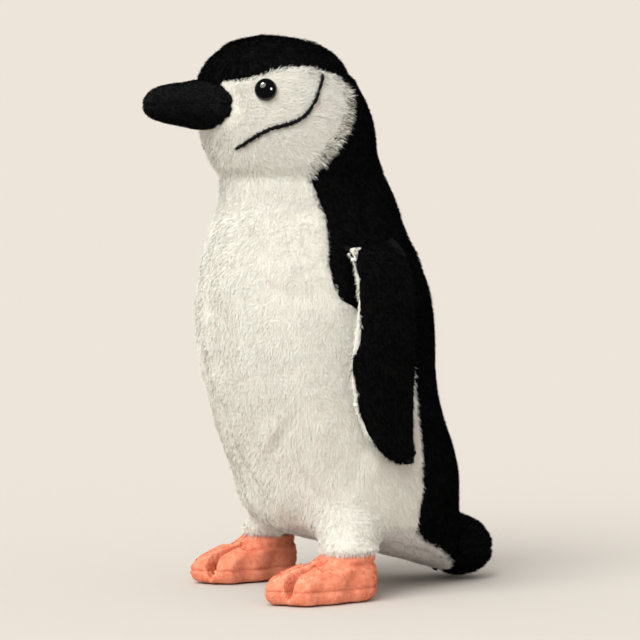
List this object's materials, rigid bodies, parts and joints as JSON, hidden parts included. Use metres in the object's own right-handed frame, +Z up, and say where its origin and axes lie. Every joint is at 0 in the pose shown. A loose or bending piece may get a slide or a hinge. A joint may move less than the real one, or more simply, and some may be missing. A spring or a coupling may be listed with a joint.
{
  "type": "plush penguin",
  "caption": "Standing plush penguin with stuffed body, turning head, hinged flippers, short beak, padded feet and a stubby tail.",
  "frame": {"origin": "on the ground, at the middle of the box round the standing toy", "axes": "+Z up, -Y the way the beak points, +X the toy's own left"},
  "size_m": [0.139, 0.2126, 0.302],
  "materials": {
    "black_plush": "short dense black pile, matt",
    "white_plush": "cream white pile, matt",
    "grey_plush": "greyish white pile, matt",
    "beak_fleece": "short charcoal fleece, matt",
    "coral_fleece": "short coral fleece, matt",
    "stuffing": "white polyester fibre",
    "pellet_cloth": "plain woven bag",
    "eye_plastic": "glossy black",
    "washer_plastic": "matt moulded",
    "black_thread": "twisted black thread"
  },
  "bodies": {
    "torso": {"belly_left": "white_plush", "belly_right": "white_plush", "back_left": "black_plush", "back_right": "black_plush", "base_panel": "grey_plush", "body_stuffing": "stuffing", "pellet_bag": "pellet_cloth", "leg_cuff_left": "white_plush", "leg_cuff_right": "white_plush", "leg_stuffing_left": "stuffing", "leg_stuffing_right": "stuffing", "foot_upper_left": "coral_fleece", "foot_upper_right": "coral_fleece", "foot_sole_left": "coral_fleece", "foot_sole_right": "coral_fleece"},
    "head": {"cap": "black_plush", "nape": "black_plush", "face_left": "white_plush", "face_right": "white_plush", "head_stuffing": "stuffing", "beak_upper": "beak_fleece", "beak_lower": "beak_fleece", "beak_stuffing": "stuffing", "eye_left": "eye_plastic", "eye_right": "eye_plastic", "eye_washer_left": "washer_plastic", "eye_washer_right": "washer_plastic", "chinstrap_left": "black_thread", "chinstrap_right": "black_thread"},
    "flipper_left": {"flipper_left_outer": "black_plush", "flipper_left_inner": "white_plush", "flipper_left_batting": "stuffing"},
    "flipper_right": {"flipper_right_outer": "black_plush", "flipper_right_inner": "white_plush", "flipper_right_batting": "stuffing"},
    "tail": {"tail_top": "black_plush", "tail_underside": "black_plush", "tail_stuffing": "stuffing"}
  },
  "joints": [
    {"name": "head_turn", "type": "hinge", "parent": "torso", "child": "head", "pos_m": [0, -0.01275, 0.226], "axis": [0, 0, 1], "range_deg": [-20, 20], "stiffness_Nm_per_rad": 0.1},
    {"name": "flipper_left_lift", "type": "hinge", "parent": "torso", "child": "flipper_left", "pos_m": [0.047, 0.00425, 0.2], "axis": [0, -1, 0], "range_deg": [0, 80]},
    {"name": "flipper_right_lift", "type": "hinge", "parent": "torso", "child": "flipper_right", "pos_m": [-0.047, 0.00425, 0.2], "axis": [0, 1, 0], "range_deg": [0, 80]},
    {"name": "tail_bend", "type": "hinge", "parent": "torso", "child": "tail", "pos_m": [0, 0.08125, 0.038], "axis": [1, 0, 0], "range_deg": [0, 20], "stiffness_Nm_per_rad": 0.05}
  ]
}
